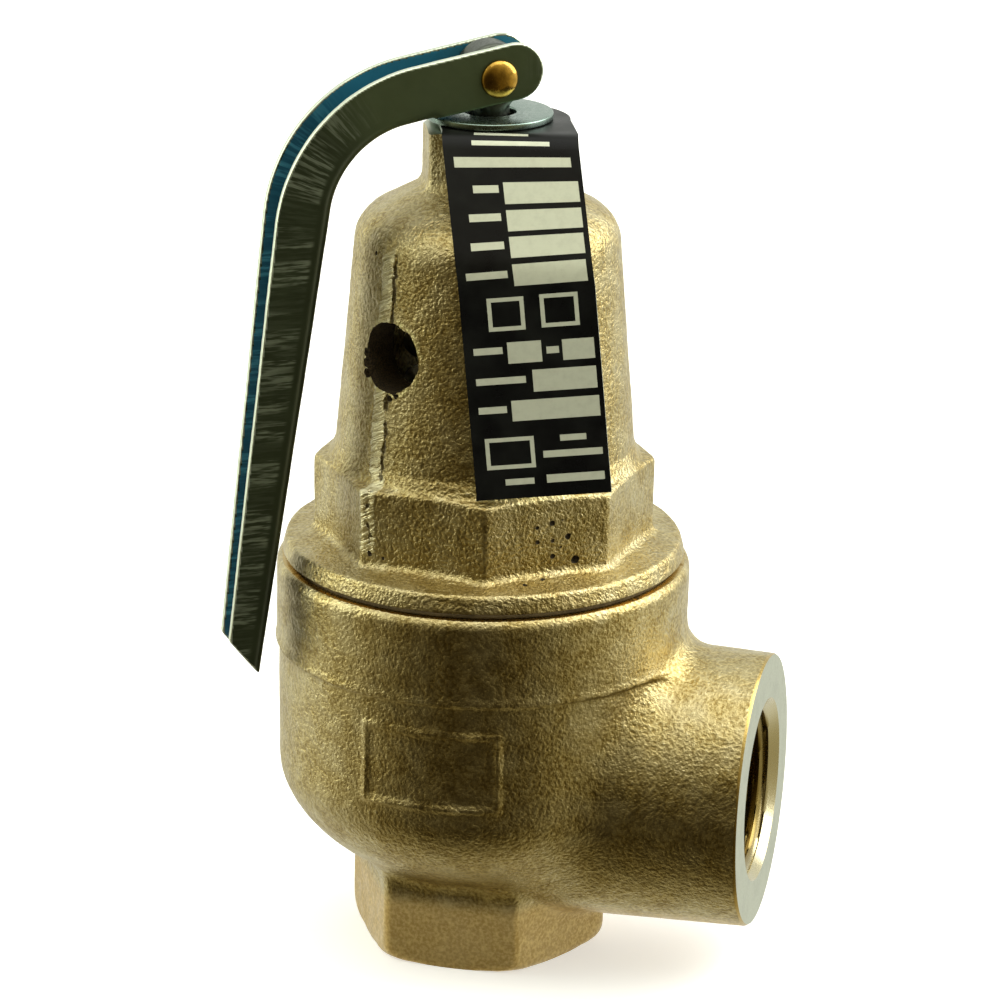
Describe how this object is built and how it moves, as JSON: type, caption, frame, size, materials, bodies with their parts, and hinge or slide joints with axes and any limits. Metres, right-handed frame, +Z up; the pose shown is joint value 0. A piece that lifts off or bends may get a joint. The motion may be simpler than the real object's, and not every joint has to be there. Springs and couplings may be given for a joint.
{
  "type": "pressure relief valve",
  "caption": "Angle-pattern spring-loaded relief valve with a hanging lifting lever, a name tag, an octagonal bonnet, and threaded inlet and side outlet.",
  "frame": {"origin": "centre of the inlet face, on the valve axis", "axes": "+Z up the valve axis, +X out of the side outlet"},
  "size_m": [0.0793, 0.0624, 0.1399],
  "materials": {
    "cast_bronze": "sand-cast bronze, satin, pebbly",
    "turned_brass": "fine-turned brass",
    "gasket": "matt fibre",
    "spring_steel": "oiled spring steel",
    "stem_steel": "turned",
    "stainless": "turned",
    "plated_washer": "passivated zinc plate",
    "plated_lever": "dark olive zinc plate, semi-gloss",
    "tag_black": "black print on aluminium, semi-gloss",
    "rivet_brass": "polished",
    "seat_plastic": "matt",
    "seal_rubber": "matt"
  },
  "bodies": {
    "valve": {"valve_body": "cast_bronze", "bonnet": "cast_bronze", "bonnet_gasket": "gasket", "guide_bush": "turned_brass", "lock_nut": "turned_brass", "spring": "spring_steel"},
    "spring_top": {"spring_button": "turned_brass"},
    "set_screw": {"adjusting_screw": "turned_brass"},
    "swivel": {"lever_washer": "plated_washer"},
    "tag": {"name_tag": "tag_black"},
    "stem": {"stem": "stem_steel", "stem_clip": "spring_steel"},
    "lever": {"lever": "plated_lever", "lever_pin": "rivet_brass"},
    "disc": {"disc_holder": "turned_brass", "seat_disc": "seat_plastic", "disc_retainer": "stainless", "disc_screw": "stainless", "o_ring_lower": "seal_rubber", "o_ring_upper": "seal_rubber", "spring_seat": "turned_brass"}
  },
  "joints": [
    {"name": "lever_swivel", "type": "hinge", "parent": "valve", "child": "swivel", "pos_m": [0, 0, 0.1288], "axis": [0, 0, 1], "range_deg": [-180, 115]},
    {"name": "tag_swivel", "type": "hinge", "parent": "swivel", "child": "tag", "pos_m": [0, 0, 0.128], "axis": [0, 0, 1], "range_deg": [-15, 200]},
    {"name": "stem_lift", "type": "slide", "parent": "swivel", "child": "stem", "axis": [0, 0, 1], "range_m": [0, 0.00135], "deforming": ["spring"]},
    {"name": "lever_pivot", "type": "hinge", "parent": "stem", "child": "lever", "pos_m": [0, 0, 0.13485], "axis": [-0.5417, 0.8406, 0], "range_deg": [0, 88]},
    {"name": "pop_lift", "type": "slide", "parent": "stem", "child": "disc", "axis": [0, 0, 1], "range_m": [0, 0.0034], "deforming": ["spring"]},
    {"name": "set_screw_travel", "type": "slide", "parent": "valve", "child": "spring_top", "axis": [0, 0, 1], "range_m": [-0.0005, 0.0005], "deforming": ["spring"]},
    {"name": "set_screw_turn", "type": "hinge", "parent": "spring_top", "child": "set_screw", "pos_m": [0, 0, 0.1173], "axis": [0, 0, -1], "range_deg": [-180, 180]}
  ],
  "couplings": [
    {"joint": "stem_lift", "follows": "lever_pivot", "m_per_rad": 0.00087897},
    {"joint": "set_screw_turn", "follows": "set_screw_travel", "rad_per_m": -6283.2}
  ]
}
